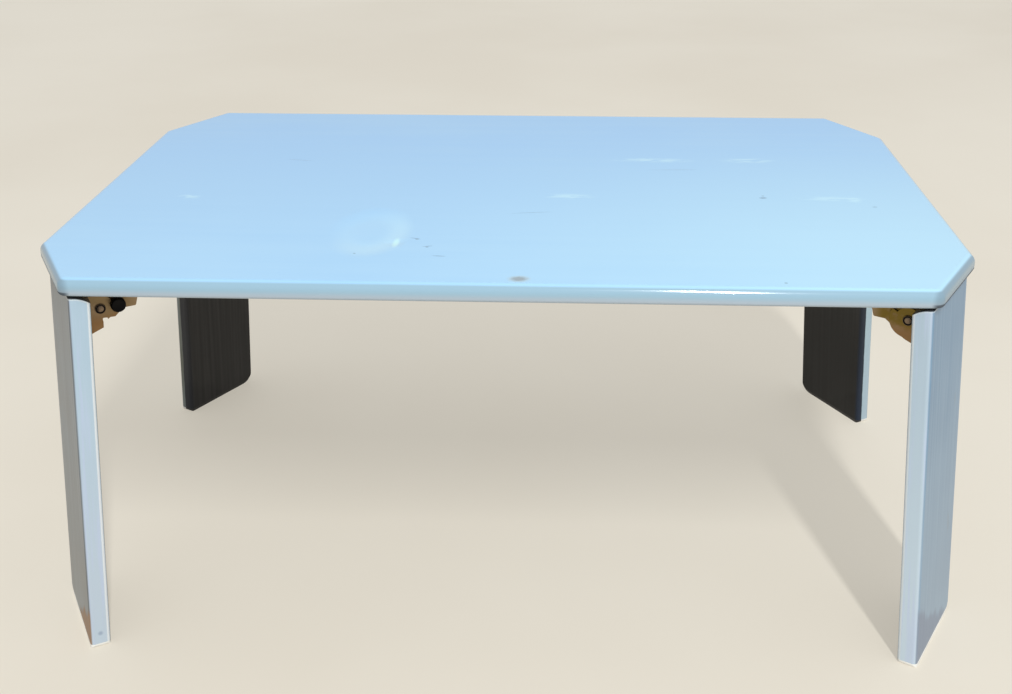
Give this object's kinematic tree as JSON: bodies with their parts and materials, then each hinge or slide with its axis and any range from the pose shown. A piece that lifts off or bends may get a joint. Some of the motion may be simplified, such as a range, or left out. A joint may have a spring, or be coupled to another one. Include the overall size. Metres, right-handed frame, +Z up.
{
  "type": "folding low table",
  "caption": "Low rectangular table with cut corners, a gloss board and splayed plank legs that fold flat under it on spring-latched metal brackets.",
  "frame": {"origin": "centre of the footprint, on the floor", "axes": "+X along the long side, the front is -Y, +Z up"},
  "size_m": [0.7866, 0.5193, 0.332],
  "materials": {
    "top_lacquer": "sky-blue gloss lacquer, worn and scratched",
    "leg_lacquer": "pale grey-blue lacquer outside and on the edges, black inside",
    "foot_plastic": "white, scuffed",
    "zinc_steel": "yellow zinc-plated pressed sheet",
    "screw_steel": "yellow zinc-plated",
    "rivet_steel": "dull plated",
    "bright_steel": "turned, lightly greased",
    "spring_steel": "drawn wire",
    "knob_plastic": "moulded black"
  },
  "bodies": {
    "board": {"table_top": "top_lacquer", "front_left_table_bracket": "zinc_steel", "front_left_table_screws": "screw_steel", "front_left_hinge_rivet": "rivet_steel", "front_left_hinge_bush": "bright_steel", "front_left_latch_spring": "spring_steel", "front_right_table_bracket": "zinc_steel", "front_right_table_screws": "screw_steel", "front_right_hinge_rivet": "rivet_steel", "front_right_hinge_bush": "bright_steel", "front_right_latch_spring": "spring_steel", "rear_left_table_bracket": "zinc_steel", "rear_left_table_screws": "screw_steel", "rear_left_hinge_rivet": "rivet_steel", "rear_left_hinge_bush": "bright_steel", "rear_left_latch_spring": "spring_steel", "rear_right_table_bracket": "zinc_steel", "rear_right_table_screws": "screw_steel", "rear_right_hinge_rivet": "rivet_steel", "rear_right_hinge_bush": "bright_steel", "rear_right_latch_spring": "spring_steel"},
    "front_left_leg_unit": {"front_left_leg": "leg_lacquer", "front_left_foot_pad": "foot_plastic", "front_left_pad_nails": "screw_steel", "front_left_leg_bracket": "zinc_steel", "front_left_leg_screws": "screw_steel"},
    "front_left_latch": {"front_left_latch_pin": "bright_steel", "front_left_latch_clips": "spring_steel", "front_left_latch_knob": "knob_plastic"},
    "front_right_leg_unit": {"front_right_leg": "leg_lacquer", "front_right_foot_pad": "foot_plastic", "front_right_pad_nails": "screw_steel", "front_right_leg_bracket": "zinc_steel", "front_right_leg_screws": "screw_steel"},
    "front_right_latch": {"front_right_latch_pin": "bright_steel", "front_right_latch_clips": "spring_steel", "front_right_latch_knob": "knob_plastic"},
    "rear_left_leg_unit": {"rear_left_leg": "leg_lacquer", "rear_left_foot_pad": "foot_plastic", "rear_left_pad_nails": "screw_steel", "rear_left_leg_bracket": "zinc_steel", "rear_left_leg_screws": "screw_steel"},
    "rear_left_latch": {"rear_left_latch_pin": "bright_steel", "rear_left_latch_clips": "spring_steel", "rear_left_latch_knob": "knob_plastic"},
    "rear_right_leg_unit": {"rear_right_leg": "leg_lacquer", "rear_right_foot_pad": "foot_plastic", "rear_right_pad_nails": "screw_steel", "rear_right_leg_bracket": "zinc_steel", "rear_right_leg_screws": "screw_steel"},
    "rear_right_latch": {"rear_right_latch_pin": "bright_steel", "rear_right_latch_clips": "spring_steel", "rear_right_latch_knob": "knob_plastic"}
  },
  "joints": [
    {"name": "front_left_leg_fold", "type": "hinge", "parent": "board", "child": "front_left_leg_unit", "pos_m": [-0.32492, -0.19219, 0.2885], "axis": [0.4903, -0.8716, 0], "range_deg": [0, 94.5]},
    {"name": "front_left_latch_slide", "type": "slide", "parent": "board", "child": "front_left_latch", "axis": [0.819, 0.4607, 0.342], "range_m": [-0.003, 0.0006], "stiffness_N_per_m": 300, "springref_m": -0.003},
    {"name": "front_right_leg_fold", "type": "hinge", "parent": "board", "child": "front_right_leg_unit", "pos_m": [0.32492, -0.19219, 0.2885], "axis": [0.4903, 0.8716, 0], "range_deg": [0, 94.5]},
    {"name": "front_right_latch_slide", "type": "slide", "parent": "board", "child": "front_right_latch", "axis": [-0.819, 0.4607, 0.342], "range_m": [-0.003, 0.0006], "stiffness_N_per_m": 300, "springref_m": -0.003},
    {"name": "rear_left_leg_fold", "type": "hinge", "parent": "board", "child": "rear_left_leg_unit", "pos_m": [-0.32492, 0.19219, 0.2885], "axis": [-0.4903, -0.8716, 0], "range_deg": [0, 94.5]},
    {"name": "rear_left_latch_slide", "type": "slide", "parent": "board", "child": "rear_left_latch", "axis": [0.819, -0.4607, 0.342], "range_m": [-0.003, 0.0006], "stiffness_N_per_m": 300, "springref_m": -0.003},
    {"name": "rear_right_leg_fold", "type": "hinge", "parent": "board", "child": "rear_right_leg_unit", "pos_m": [0.32492, 0.19219, 0.2885], "axis": [-0.4903, 0.8716, 0], "range_deg": [0, 94.5]},
    {"name": "rear_right_latch_slide", "type": "slide", "parent": "board", "child": "rear_right_latch", "axis": [-0.819, -0.4607, 0.342], "range_m": [-0.003, 0.0006], "stiffness_N_per_m": 300, "springref_m": -0.003}
  ]
}
